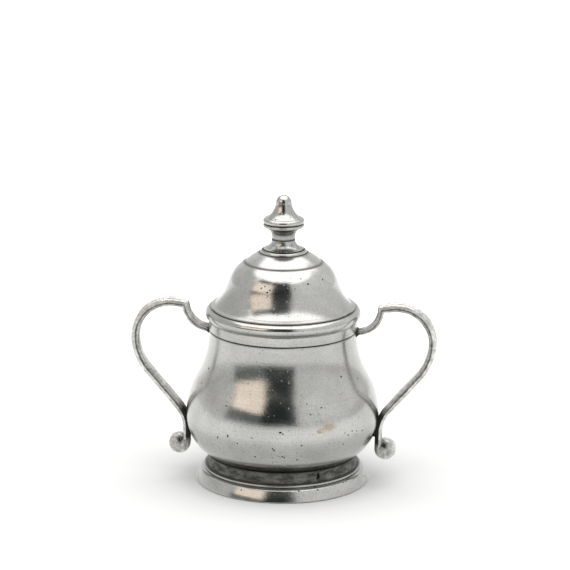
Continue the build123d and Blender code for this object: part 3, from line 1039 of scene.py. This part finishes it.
class SUGARBOWL_OT_lid(Operator):
    """Build the domed lid and its locating ring"""

    bl_idname = "sugar_bowl.lid"
    bl_label = "Lid"

    def execute(self, context):
        sizes = context.scene.bowl_lid_sizes
        finish = context.scene.bowl_finish
        lines = context.scene.bowl_sizes
        hole = context.scene.bowl_finial_sizes.hole
        crown_line = bottom("lid_dome") + sizes.crown_line_height
        # painted shade in the gap where the lid sits on the collar, and dark lines under the disc and
        # in the crown's turned line
        seams = (
            (bottom("lid_dome"), 1.0 * MM, 1.0),
            (top("lid_dome"), 0.5 * MM, 0.9),
            (crown_line, 0.55 * MM, 1.0),
        )
        outline = lid_outline(sizes, lines, hole)
        lid = turned_piece("lid_turning", outline, True, 0.1 * MM, 0.0015, LID_DENTS, seams)
        metal = turned_pewter("lid_pewter", finish, LID_PITS)
        settle(lid, "lid", "cast_pewter", metal, "lid_dome")

        outer = reach("lid_bezel")
        inner = outer - sizes.bezel_wall
        low = bottom("lid_bezel")
        high = top("lid_bezel")
        chamfer = 0.5 * MM
        ring_outline = [
            point(inner, low),
            point(outer - chamfer, low),
            point(outer, low + chamfer),
            point(outer, high),
            point(inner, high),
        ]
        ring = turned_piece("locating_ring", ring_outline, True, 0.15 * MM, 0.0008)
        settle(ring, "lid", "cast_pewter", turned_pewter("ring_pewter", finish), "lid_bezel")
        return {"FINISHED"}


class SUGARBOWL_OT_finial(Operator):
    """Build the finial: disc, stem and knob"""

    bl_idname = "sugar_bowl.finial"
    bl_label = "Finial"

    def execute(self, context):
        sizes = context.scene.bowl_finial_sizes
        finish = context.scene.bowl_finish
        seams = ((bottom("crown_disc"), 0.5 * MM, 1.0), (top("crown_disc"), 0.4 * MM, 1.0))
        outline = disc_outline(sizes.hole)
        disc = turned_piece("disc_turning", outline, True, 0.1 * MM, 0.002, seams=seams)
        settle(disc, "lid", "cast_pewter", turned_pewter("disc_pewter", finish), "crown_disc")

        seams = ((bottom("finial_stem"), 0.4 * MM, 0.8), (top("finial_stem"), 0.7 * MM, 0.85))
        outline = stem_outline(sizes)
        stem = turned_piece("stem_casting", outline, True, 0.15 * MM, 0.008, seams=seams)
        colour = Vector(finish.rough_pewter) * STEM_DARKER
        metal = cast_metal("stem_pewter", colour, finish, darkness=0.34, lump=0.08, gloss=0.2)
        settle(stem, "lid", "rough_pewter", metal, "finial_stem")

        flange = bottom("finial_knob") + sizes.flange_height
        # painted shade in the recess under the flange, with dark lines at the knob's foot, under the
        # flange and in the beads' groove
        seams = (
            (bottom("finial_knob"), 0.8 * MM, 0.9),
            (flange - 2.6 * MM, 3.4 * MM, 0.45),
            (flange - 0.3 * MM, 0.7 * MM, 0.9),
            (flange + sizes.bead_pitch, 0.45 * MM, 1.0),
        )
        outline = knob_outline(sizes)
        knob = turned_piece("knob_turning", outline, False, 0.15 * MM, 0.01, seams=seams)
        metal = turned_pewter("knob_pewter", finish, KNOB_PITS, worn=0.15)
        settle(knob, "lid", "cast_pewter", metal, "finial_knob")
        return {"FINISHED"}


class SUGARBOWL_OT_fixings(Operator):
    """Give the screw and washer under the lid their steel"""

    bl_idname = "sugar_bowl.fixings"
    bl_label = "Screw and washer"

    def execute(self, context):
        finish = context.scene.bowl_finish
        steel = cast_metal(
            "screw_steel", finish.steel, finish, darkness=0.3, lump=0.03, gloss=0.3
        )
        for name in ("finial_screw", "lid_washer"):
            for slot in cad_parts[name].material_slots:
                slot.material = steel
        return {"FINISHED"}


# Handles --------------------------------------------------------------------------------------

# Across the strap's section, as shares of half its thickness and half its width: flat faces top
# and bottom, sloping sides and a parting ridge along the middle of each side.
SECTION_HALF = (
    (1.0, 0.0),
    (1.0, 0.5),
    (0.96, 0.76),
    (0.72, 0.9),
    (0.2, 0.96),
    (0.06, 1.0),
    (-0.06, 1.0),
    (-0.2, 0.95),
    (-0.72, 0.88),
    (-0.96, 0.74),
    (-1.0, 0.5),
)
SECTION = SECTION_HALF + tuple((a, -b) for a, b in reversed(SECTION_HALF[1:])) + ((-1.0, 0.0),)
# darker along one side of the parting ridge, by place across the thickness
RIDGE_DARKENING = {0.06: 0.15, -0.06: 0.85, -0.2: 0.55}
LEFT_BOW = (7.1 * MM, 3.0 * MM)      # point on each arm, out from its root and up
RIGHT_BOW = (7.9 * MM, 2.9 * MM)
ROUND_END = (30, 55, 78)             # degrees round the strap's rounded inner end
CORNER_CLEAR = 1.7 * MM              # path points nearer the sharp corner are dropped
ROOT_IN = 1.0 * MM                   # how far the arm's root goes into the neck
LOOP_LEAN = math.radians(14)         # where the loop starts, past its top
FALL_TURN = 1.4                      # slope of the fall's straight run, in slopes of the whole fall
FALL_SHARE = 0.6                     # share of the bends' radius at the fall, the rest at the heel
CURL_TURN = math.radians(200)        # turn of the curl, and of its tighter inner end
CURL_END_TURN = math.radians(135)
CURL_END_ROUND = 0.52                # radius of the inner end, in curl radii
CURL_LENGTH = 5.0                    # end of the strap without the darker ridge, in curl radii
SMEAR_AND_SHADE_MIDDLE = point(0.8, 2.6) * MM     # middle of the solder smear and painted shade on the strap's inner face, from the heel
SMEAR_AND_SHADE_FADE = 3.9 * MM               # length over which the smear and painted shade fade
SMEAR_AND_SHADE_FULL = 2.6                    # where it has all faded, in those lengths
SOOT_REACH = 2.4 * MM                # soot on the arm, from its root

# Along a strap, (share of the way, share of the full width or thickness).
STRAP_WIDTHS = ((0.0, 0.8), (0.1, 0.9), (0.2, 1.04), (0.7, 1.0), (0.85, 0.96), (1.0, 0.9))
THICK_END = ((0.9, 1.02), (1.0, 0.9))
LEFT_THICK = (
    (0.0, 0.95), (0.2, 1.1), (0.35, 1.2), (0.5, 1.16), (0.66, 1.14), (0.78, 1.0), *THICK_END
)
RIGHT_THICK = (
    (0.0, 0.7), (0.1, 0.9), (0.2, 1.12), (0.35, 1.14), (0.66, 1.04), (0.78, 0.98), *THICK_END
)


def between(stops, where):
    """Value at a share of the way along, read from stops of (share, value)."""
    for (low, first), (high, second) in zip(stops, stops[1:]):
        if where <= high:
            return first + (second - first) * (where - low) / (high - low)
    return stops[-1][1]


def heel_place(sizes):
    """Middle of the strap at the lower joint."""
    height = top("lower_bowl") - sizes.heel_drop
    return point(belly_radius(height) + sizes.thick / 2, height)


def strap_line(sizes, neck, loop_out, arm_bow):
    """Middle line of a strap: arm, sharp corner, loop, fall, heel and curl."""
    root = point(neck, bottom("rim_collar") - sizes.root_drop)
    corner = root + point(sizes.corner_out, sizes.corner_rise)
    loop_end = root + point(loop_out, -sizes.loop_drop)
    loop_mid = loop_end - point(sizes.loop_round, 0)
    loop_top = loop_mid + rotated(point(0, sizes.loop_round), LOOP_LEAN)
    arm = arc_through(root, root + point(*arm_bow), corner, 16)
    loop = arc_from(loop_end, loop_top, point(0, 1), 30)[::-1]
    heel = heel_place(sizes)
    across = loop_end.x - heel.x
    down = loop_end.y - heel.y
    angle = math.atan2(across, down) * FALL_TURN
    bends = (down * math.sin(angle) - across * math.cos(angle)) / (1 - math.cos(angle))
    fall = bend(loop_end, point(0, -1), bends * FALL_SHARE, -angle, 26)
    heel_bend = bend(heel, point(0, 1), bends * (1 - FALL_SHARE), -angle, 18)[::-1]
    run = [fall[-1].lerp(heel_bend[0], step / 12) for step in range(13)]
    curl_start = heel - point(0, sizes.curl_drop)
    drop = [heel.lerp(curl_start, step / 8) for step in range(9)]
    curl = bend(curl_start, point(0, -1), sizes.curl_round, CURL_TURN, 26)
    heading = rotated(point(0, -1), CURL_TURN)
    inner = bend(curl[-1], heading, sizes.curl_round * CURL_END_ROUND, CURL_END_TURN, 14)
    arm = [place for place in arm[:-1] if (place - corner).length > CORNER_CLEAR] + [corner]
    top_run = [corner.lerp(loop_top, step / 3) for step in range(1, 3)]
    upper = joined([root - point(ROOT_IN, 0)], arm, top_run, loop)
    return joined(upper, fall, run, heel_bend, drop, curl, inner)


def lengths_along(line):
    """Length of a line from its start to each of its points."""
    lengths = [0.0]
    for first, second in zip(line, line[1:]):
        lengths.append(lengths[-1] + (second - first).length)
    return lengths


def strap_mesh(name, line, sizes, side, seed, thickness, widths):
    """Sweep the strap's section along its middle line and roughen it as a casting."""
    smear_and_shade_middle = heel_place(sizes) + SMEAR_AND_SHADE_MIDDLE
    form = bmesh.new()
    darkening = []
    rings = []
    lengths = lengths_along(line)
    curl_start = lengths[-1] - sizes.curl_round * CURL_LENGTH
    for index, place in enumerate(line):
        before = (place - line[index - 1]).normalized() if index else None
        after = (line[index + 1] - place).normalized() if index < len(line) - 1 else before
        before = before or after
        normal = (aside(before) + aside(after)).normalized()
        mitre = 1 / max(normal.dot(aside(before)), 0.5)
        along = lengths[index] / lengths[-1]
        half_thick = sizes.thick / 2 * between(thickness, along)
        half_wide = sizes.width / 2 * between(widths, along)
        rings.append(section_ring(form, place, normal * mitre, half_thick, half_wide, side))
        # solder smear and painted shade on the strap's inner face near the heel
        smear_and_shade = min(1.0, max(0.0, SMEAR_AND_SHADE_FULL - (place - smear_and_shade_middle).length / SMEAR_AND_SHADE_FADE))
        soot = max(0.0, 1 - (place - line[0]).length / SOOT_REACH)
        for across, _ in SECTION:
            inner = smear_and_shade if across < 0.1 else 0.0
            ridge = 0.0 if lengths[index] > curl_start else RIDGE_DARKENING.get(across, 0.0)
            darkening.append(max(ridge, inner, soot))
    heading = (line[-1] - line[-2]).normalized()
    for angle in ROUND_END:
        shrink = math.cos(math.radians(angle))
        place = line[-1] + heading * half_thick * math.sin(math.radians(angle))
        narrowed = half_wide * (0.4 + 0.6 * shrink)
        rings.append(section_ring(form, place, normal, half_thick * shrink, narrowed, side))
        darkening.extend([0.0] * len(SECTION))
    skin(form, rings)
    darkening.extend(curl_boss(form, sizes, side))
    roughen(form, sizes.bumps, Vector((seed, 0, 0)), ((1.9, 1.0), (0.9, 0.6), (8.0, 1.6)))
    piece = finish_mesh(form, name, darkening)
    smooth = piece.modifiers.new("smooth", "SUBSURF")
    smooth.levels = 1
    smooth.render_levels = 1
    return piece


# Side of the curl's solid middle, as shares of the strap's half width and radii in mm.
BOSS_DOME = ((1.1, 0.5), (1.09, 1.4), (1.05, 2.3), (0.98, 3.2), (0.86, 4.0), (0.6, 4.5), (0.2, 4.7))
BOSS_AROUND = 32
HOLLOW_MIDDLE = point(-0.9, 2.1) * MM    # hollow in the curl's side, from the curl's middle
HOLLOW_REACH = 1.25 * MM
HOLLOW_DEPTH = 1.1 * MM


def curl_boss(form, sizes, side):
    """Fill the curl with a rough ball that has a dark hollow, and return how dark each of its points
    is.
    """
    heel = heel_place(sizes)
    middle = point(heel.x + sizes.curl_round, heel.y - sizes.curl_drop)
    hollow = middle + HOLLOW_MIDDLE
    half = sizes.width / 2
    rings = []
    darkening = []
    for out, radius in BOSS_DOME + tuple((-out, radius) for out, radius in reversed(BOSS_DOME)):
        ring = []
        for step in range(BOSS_AROUND):
            spot = middle + rotated(point(radius * MM, 0), 2 * math.pi * step / BOSS_AROUND)
            recess = math.exp(-(((spot - hollow).length / HOLLOW_REACH) ** 2))
            across = out * half - math.copysign(HOLLOW_DEPTH * recess, out)
            ring.append(form.verts.new((side * spot.x, across, spot.y)))
            darkening.append(min(1.0, 0.08 + 1.2 * recess))
        rings.append(ring)
    skin(form, rings)
    return darkening


def section_ring(form, place, normal, half_thick, half_wide, side):
    """One ring of the strap's section, standing across its middle line."""
    ring = []
    for across, wide in SECTION:
        spot = place + normal * across * half_thick
        ring.append(form.verts.new((spot.x * side, wide * half_wide, spot.y)))
    return ring


class SUGARBOWL_OT_handles(Operator):
    """Build the two cast scroll handles"""

    bl_idname = "sugar_bowl.handles"
    bl_label = "Handles"

    def execute(self, context):
        sizes = context.scene.bowl_handle_sizes
        finish = context.scene.bowl_finish
        neck = context.scene.bowl_sizes.neck_radius
        metal = cast_metal(
            "handle_pewter",
            finish.rough_pewter,
            finish,
            darkness=0.32,
            lump=0.16,
            gloss=finish.cast_polish,
        )
        for side, name, seed, loop_out, bow, thickness in (
            (-1, "left_handle", 31.0, sizes.loop_out_left, LEFT_BOW, LEFT_THICK),
            (1, "right_handle", 77.0, sizes.loop_out_right, RIGHT_BOW, RIGHT_THICK),
        ):
            line = strap_line(sizes, neck, loop_out, bow)
            strap = strap_mesh(name + "_casting", line, sizes, side, seed, thickness, STRAP_WIDTHS)
            settle(strap, "bowl", "rough_pewter", metal, name)
        return {"FINISHED"}


# Rings of solder at a strap's root, (out from the neck, margin round the strap) in mm.
ROOT_BEAD = ((-0.9, 0.7), (-0.2, 0.6), (0.2, 0.45), (0.6, 0.25), (0.9, 0.05), (1.1, -0.3))
ROOT_BEAD_SINK = 0.2 * MM        # middle of that solder, below the middle of the strap
# The heel's solder runs well above the joint: that upper part is a dark bead standing for the shade in
# the gap between strap and belly.
HEEL_BEAD_BELOW = 2.4 * MM       # ends of the solder at a strap's heel
HEEL_BEAD_ABOVE = 8.0 * MM
HEEL_BEAD_HALF = 2.9 * MM        # half its width
HEEL_BEAD_STEPS = 22
SOLDER_WAVES = ((1.1, 1.0), (0.5, 0.7))  # its crumbs, (length in mm, share)


def oval_ring(form, centre, across, wide, tall, count=28):
    """A ring of points round a rounded oblong across the given direction."""
    ring = []
    for step in range(count):
        angle = 2 * math.pi * step / count
        y = math.copysign(abs(math.cos(angle)) ** 0.6, math.cos(angle)) * wide
        z = math.copysign(abs(math.sin(angle)) ** 0.6, math.sin(angle)) * tall
        ring.append(form.verts.new(centre + Vector((0, y, 0)) + across * z))
    return ring


def root_solder(form, side, neck, height, thick, wide):
    """Crumbly solder round the strap where its arm meets the neck."""
    up = Vector((0, 0, 1))
    rings = []
    for out, margin in ROOT_BEAD:
        centre = Vector((side * (neck + out * MM), 0, height - ROOT_BEAD_SINK))
        rings.append(oval_ring(form, centre, up, wide + margin * 0.8 * MM, thick + margin * MM))
    skin(form, rings)


def strap_reach(line, height):
    """Nearest that a strap's middle line comes to the bowl at a height."""
    crossings = [
        first.x + (second.x - first.x) * (height - first.y) / (second.y - first.y)
        for first, second in zip(line, line[1:])
        if second.y <= height < first.y
    ]
    return min(crossings)


def heel_solder_and_shade(form, side, sizes, line):
    """Solder run down between the strap and the belly, carried up past the joint as painted shade in
    the gap between them.
    """
    heel = heel_place(sizes)
    rings = []
    low = heel.y - HEEL_BEAD_BELOW
    high = heel.y + HEEL_BEAD_ABOVE
    for step in range(HEEL_BEAD_STEPS + 1):
        z = low + (high - low) * step / HEEL_BEAD_STEPS
        taper = math.sqrt(max(1 - (2 * step / HEEL_BEAD_STEPS - 1) ** 4, 0.02))
        belly = belly_radius(min(z, top("lower_bowl"))) - 0.5 * MM
        face = max(strap_reach(line, z) - sizes.thick * 0.3, belly + 0.7 * MM)
        middle = Vector((side * (belly + face) / 2, 0, z))
        deep = (face - belly) / 2 * (0.6 + 0.4 * taper)
        rings.append(oval_ring(form, middle, Vector((1, 0, 0)), HEEL_BEAD_HALF * taper, deep, 20))
    skin(form, rings)


class SUGARBOWL_OT_solder(Operator):
    """Build the solder at the four handle joints"""

    bl_idname = "sugar_bowl.solder"
    bl_label = "Handle solder"

    def execute(self, context):
        sizes = context.scene.bowl_handle_sizes
        finish = context.scene.bowl_finish
        neck = context.scene.bowl_sizes.neck_radius
        metal = cast_metal(
            "joint_solder", finish.solder, finish, darkness=0.6, lump=0.3, gloss=0.42
        )
        height = bottom("rim_collar") - sizes.root_drop
        upper = bmesh.new()
        lower = bmesh.new()
        straps = {-1: (sizes.loop_out_left, LEFT_BOW), 1: (sizes.loop_out_right, RIGHT_BOW)}
        for side, (loop_out, bow) in straps.items():
            line = strap_line(sizes, neck, loop_out, bow)
            root_solder(upper, side, neck, height, sizes.thick * 0.42, sizes.width * 0.42)
            heel_solder_and_shade(lower, side, sizes, line)
        roughen(upper, 0.4 * MM, Vector((0, 0, 5.0)), SOLDER_WAVES)
        roughen(lower, 0.15 * MM, Vector((0, 0, 9.0)), SOLDER_WAVES)
        root_bead = finish_mesh(upper, "root_solder")
        settle(root_bead, "bowl", "solder", metal, "upper_handle_solder")
        settle(finish_mesh(lower, "heel_solder_and_shade"), "bowl", "solder", metal, "lower_handle_solder")
        return {"FINISHED"}


# Studio ---------------------------------------------------------------------------------------


WHITE = (1.0, 1.0, 1.0)
GREY = (1.0, 1.0, 0.985)
SILK = (1.0, 0.995, 0.98)
FLOOR_DROP = 0.05 * MM           # keeps the floor clear of the foot's flat base
FLOOR_FADE = (0.05, 0.55)        # distances between which the floor's own glow comes up
FLOOR_GLOW = 0.9
FLOOR_TONE = 0.6                 # how much light the floor gives back
SHADE_RISE = 0.4 * MM            # height of the card that the metal reflects as the floor
SHADE_FADE = (0.05, 0.16, 0.88, 1.42)    # near and far distance, then its glow at each

# Screens that only reflections see: name, bearings from the camera's, heights (both in degrees),
# colour, glow and distance.
SCREENS = (
    ("left_wall", (-150, -78), (8, 52), GREY, 0.86, 0.80),
    ("right_wall", (16, 130), (8, 52), GREY, 1.15, 0.80),
    ("dark_gap", (-73, -24), (3, 56), (0.92, 1.0, 0.96), 0.25, 0.78),
    ("dark_doorway", (-26, 17), (3, 58), (0.7, 1.0, 1.0), 0.035, 0.77),
    ("warm_window", (-70, -25), (18, 46), (1.0, 0.87, 0.74), 1.9, 0.72),
)


def from_bowl(shader):
    """Distance of a point of the floor from the bowl's axis."""
    place = shader.add("TexCoord", {}).outputs["Object"]
    return shader.add("VectorMath", {0: place}, operation="LENGTH").outputs["Value"]


def plain_material(name, colour, strength, diffuse=0.0, fade=None):
    """A plain matt or glowing surface for the studio.

    fade is (near, far), the distances from the bowl's axis between which the glow comes up.
    """
    shader = Shader(name)
    if fade:
        strength = shader.ramp(from_bowl(shader), *fade, 0.0, strength)
    surface = shader.add(
        "BsdfPrincipled",
        {
            "Base Color": rgba([diffuse] * 3),
            "Roughness": 1.0,
            "Specular IOR Level": 0.0,
            "Emission Color": rgba(colour),
            "Emission Strength": strength,
        },
    )
    shader.add("OutputMaterial", {0: surface.outputs[0]})
    return shader.material


def screen(name, bearings, heights, colour, strength, radius):
    """A curved screen round the bowl that only reflections see.

    bearings are degrees round from the front and heights are degrees above the floor.
    """
    form = bmesh.new()
    across, up = 16, 10
    centre = Vector((0, 0, 60 * MM))
    rows = []
    for row in range(up + 1):
        rise = math.radians(heights[0] + (heights[1] - heights[0]) * row / up)
        line = []
        for column in range(across + 1):
            bearing = math.radians(bearings[0] + (bearings[1] - bearings[0]) * column / across - 90)
            level = math.cos(rise)
            spot = Vector((level * math.cos(bearing), level * math.sin(bearing), math.sin(rise)))
            line.append(form.verts.new(centre + spot * radius))
        rows.append(line)
    for line, following in zip(rows, rows[1:]):
        for column in range(across):
            form.faces.new(
                (line[column], line[column + 1], following[column + 1], following[column])
            )
    card = finish_mesh(form, name)
    card.data.materials.append(plain_material(name + "_paper", colour, strength))
    hide_from_all_but_reflections(card)


def shaded_floor(colour):
    """Glowing floor for reflections, dimmer near the bowl that shades it."""
    shader = Shader("floor_shade_paper")
    glow = shader.ramp(from_bowl(shader), *SHADE_FADE)
    surface = shader.add("Emission", {"Color": rgba(colour), "Strength": glow})
    shader.add("OutputMaterial", {0: surface.outputs[0]})
    return shader.material


def hide_from_all_but_reflections(card):
    """Let a studio card show only in the metal."""
    card.visible_camera = False
    card.visible_diffuse = False
    card.visible_shadow = False
    card.visible_transmission = False
    card.visible_volume_scatter = False


def flat_card(name, centre, wide, deep, material):
    """A level rectangle."""
    form = bmesh.new()
    corners = [
        form.verts.new(centre + Vector((x * wide / 2, y * deep / 2, 0)))
        for x, y in ((-1, -1), (1, -1), (1, 1), (-1, 1))
    ]
    form.faces.new(corners)
    card = finish_mesh(form, name)
    card.data.materials.append(material)
    return card


class SUGARBOWL_OT_studio(Operator):
    """Set the floor, the soft light and the camera"""

    bl_idname = "sugar_bowl.studio"
    bl_label = "Studio"

    def execute(self, context):
        scene = context.scene
        studio = scene.bowl_studio
        paper = plain_material("floor_paper", WHITE, FLOOR_GLOW, FLOOR_TONE, FLOOR_FADE)
        flat_card("floor", Vector((0, 0, -FLOOR_DROP)), 14.0, 14.0, paper)

        world = bpy.data.worlds.new("soft_white")
        world.use_nodes = True
        background = world.node_tree.nodes["Background"]
        background.inputs["Color"].default_value = rgba(WHITE)
        background.inputs["Strength"].default_value = studio.sky
        scene.world = world

        glow = plain_material("overhead_silk", SILK, studio.overhead)
        silk = flat_card("overhead_light", Vector((0.0, 0.0, 1.2)), 2.4, 2.0, glow)
        silk.visible_camera = False

        bearing = math.degrees(studio.azimuth)
        for name, (start, end), heights, colour, strength, radius in SCREENS:
            screen(name, (bearing + start, bearing + end), heights, colour, strength, radius)
        shade = flat_card("floor_shade", Vector((0, 0, SHADE_RISE)), 3.0, 3.0, shaded_floor(GREY))
        hide_from_all_but_reflections(shade)

        lens = bpy.data.cameras.new("camera")
        lens.lens = studio.lens
        lens.sensor_width = 36.0
        lens.clip_end = 50.0
        camera = bpy.data.objects.new("camera", lens)
        scene.collection.objects.link(camera)
        spin = Matrix.Rotation(studio.azimuth, 4, "Z")
        tilt = Matrix.Rotation(math.pi / 2 - studio.pitch, 4, "X")
        stand = spin @ Vector((studio.aside, -studio.distance, studio.height))
        camera.matrix_world = (
            Matrix.Translation(stand) @ spin @ tilt @ Matrix.Rotation(studio.roll, 4, "Z")
        )
        scene.camera = camera
        scene.view_settings.view_transform = "Standard"
        return {"FINISHED"}


# Panel and running ----------------------------------------------------------------------------

PIECE_OPERATORS = (
    SUGARBOWL_OT_studio,
    SUGARBOWL_OT_foot,
    SUGARBOWL_OT_bowl,
    SUGARBOWL_OT_collar,
    SUGARBOWL_OT_handles,
    SUGARBOWL_OT_solder,
    SUGARBOWL_OT_lid,
    SUGARBOWL_OT_finial,
    SUGARBOWL_OT_fixings,
)

SETTINGS = {
    "bowl_sizes": BowlSizes,
    "bowl_lid_sizes": LidSizes,
    "bowl_finial_sizes": FinialSizes,
    "bowl_handle_sizes": HandleSizes,
    "bowl_finish": Finish,
    "bowl_studio": Studio,
}


class SUGARBOWL_PT_pieces(Panel):
    """Pieces of the sugar bowl and their sizes"""

    bl_label = "Sugar bowl"
    bl_idname = "SUGARBOWL_PT_pieces"
    bl_space_type = "VIEW_3D"
    bl_region_type = "UI"
    bl_category = "Sugar bowl"

    def draw(self, context):
        for operator in PIECE_OPERATORS:
            self.layout.operator(operator.bl_idname)
        for name, group in SETTINGS.items():
            box = self.layout.box()
            box.label(text=group.__doc__)
            for key in group.__annotations__:
                box.prop(getattr(context.scene, name), key)


CLASSES = (*SETTINGS.values(), *PIECE_OPERATORS, SUGARBOWL_PT_pieces)


def register():
    """Register the classes and hang the settings on the scene."""
    for each in CLASSES:
        bpy.utils.register_class(each)
    for name, group in SETTINGS.items():
        setattr(bpy.types.Scene, name, PointerProperty(type=group))


def unregister():
    """Undo register."""
    for name in SETTINGS:
        delattr(bpy.types.Scene, name)
    for each in reversed(CLASSES):
        bpy.utils.unregister_class(each)


def main():
    """Build every piece in order."""
    register()
    for operator in PIECE_OPERATORS:
        group, name = operator.bl_idname.split(".")
        getattr(getattr(bpy.ops, group), name)()


if __name__ == "__main__":
    main()
